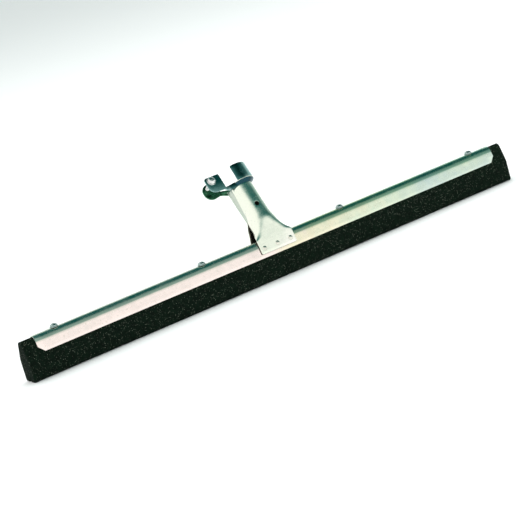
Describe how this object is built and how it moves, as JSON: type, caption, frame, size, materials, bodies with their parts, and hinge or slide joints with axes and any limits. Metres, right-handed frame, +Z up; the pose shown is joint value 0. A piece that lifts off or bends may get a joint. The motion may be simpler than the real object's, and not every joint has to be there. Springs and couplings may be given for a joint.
{
  "type": "floor squeegee head",
  "caption": "Floor squeegee head: a folded foam rubber blade in a pressed steel rail, with a riveted, back-leaning handle socket, a half-round collar and a bolted clamp.",
  "frame": {"origin": "centre of the bounding box's base, on the floor under the socket", "axes": "+X along the blade, +Y to the back, where the handle leans, +Z up from the floor"},
  "size_m": [0.55, 0.0676, 0.1094],
  "materials": {
    "zinc_sheet": "zinc plated and passivated, satin",
    "zinc_sheet_shaded": "zinc plated and passivated, satin",
    "foam_rubber": "cellular foam rubber, matt black",
    "bar_steel": "zinc plated bar",
    "fastener": "bright zinc",
    "washer": "bright zinc",
    "rivet": "zinc plated, low dome"
  },
  "bodies": {
    "squeegee": {"rail_channel": "zinc_sheet", "foam_blade": "foam_rubber", "clamp_bar": "bar_steel", "front_foot": "zinc_sheet", "rear_foot": "zinc_sheet", "socket_tube": "zinc_sheet", "seam_flange_front": "zinc_sheet", "seam_flange_rear": "zinc_sheet", "collar_shoulder": "zinc_sheet_shaded", "collar_band": "zinc_sheet_shaded", "front_ear": "zinc_sheet_shaded", "rear_ear": "zinc_sheet_shaded", "front_rivet_1": "rivet", "front_rivet_2": "rivet", "front_rivet_3": "rivet", "rear_rivet_1": "rivet", "rear_rivet_2": "rivet", "rear_rivet_3": "rivet", "clamp_bolt": "fastener", "front_washer": "washer"},
    "nut_washer": {"rear_washer": "washer"},
    "nut": {"clamp_nut": "fastener"},
    "screw_1_washer": {"rail_washer_1": "washer"},
    "screw_1": {"rail_screw_1": "fastener"},
    "screw_2_washer": {"rail_washer_2": "washer"},
    "screw_2": {"rail_screw_2": "fastener"},
    "screw_3_washer": {"rail_washer_3": "washer"},
    "screw_3": {"rail_screw_3": "fastener"},
    "screw_4_washer": {"rail_washer_4": "washer"},
    "screw_4": {"rail_screw_4": "fastener"}
  },
  "joints": [
    {"name": "clamp_nut_travel", "type": "slide", "parent": "squeegee", "child": "nut_washer", "axis": [0, 0.8171, -0.5764], "range_m": [0, 0.0021]},
    {"name": "clamp_nut_turn", "type": "hinge", "parent": "nut_washer", "child": "nut", "pos_m": [-0.0264, 0.02694, 0.09131], "axis": [0, -0.8171, 0.5764], "range_deg": [0, 1080]},
    {"name": "screw_1_travel", "type": "slide", "parent": "squeegee", "child": "screw_1_washer", "axis": [0, 0, 1], "range_m": [0, 0.0021]},
    {"name": "screw_1_turn", "type": "hinge", "parent": "screw_1_washer", "child": "screw_1", "pos_m": [-0.2385, -0.02417, 0.0391], "axis": [0, 0, 1], "range_deg": [0, 1080]},
    {"name": "screw_2_travel", "type": "slide", "parent": "squeegee", "child": "screw_2_washer", "axis": [0, 0, 1], "range_m": [0, 0.0021]},
    {"name": "screw_2_turn", "type": "hinge", "parent": "screw_2_washer", "child": "screw_2", "pos_m": [-0.0795, -0.02417, 0.0391], "axis": [0, 0, 1], "range_deg": [0, 1080]},
    {"name": "screw_3_travel", "type": "slide", "parent": "squeegee", "child": "screw_3_washer", "axis": [0, 0, 1], "range_m": [0, 0.0021]},
    {"name": "screw_3_turn", "type": "hinge", "parent": "screw_3_washer", "child": "screw_3", "pos_m": [0.0795, -0.02417, 0.0391], "axis": [0, 0, 1], "range_deg": [0, 1080]},
    {"name": "screw_4_travel", "type": "slide", "parent": "squeegee", "child": "screw_4_washer", "axis": [0, 0, 1], "range_m": [0, 0.0021]},
    {"name": "screw_4_turn", "type": "hinge", "parent": "screw_4_washer", "child": "screw_4", "pos_m": [0.2385, -0.02417, 0.0391], "axis": [0, 0, 1], "range_deg": [0, 1080]}
  ],
  "couplings": [
    {"joint": "clamp_nut_turn", "follows": "clamp_nut_travel", "rad_per_m": 8976},
    {"joint": "screw_1_turn", "follows": "screw_1_travel", "rad_per_m": 8976},
    {"joint": "screw_2_turn", "follows": "screw_2_travel", "rad_per_m": 8976},
    {"joint": "screw_3_turn", "follows": "screw_3_travel", "rad_per_m": 8976},
    {"joint": "screw_4_turn", "follows": "screw_4_travel", "rad_per_m": 8976}
  ]
}
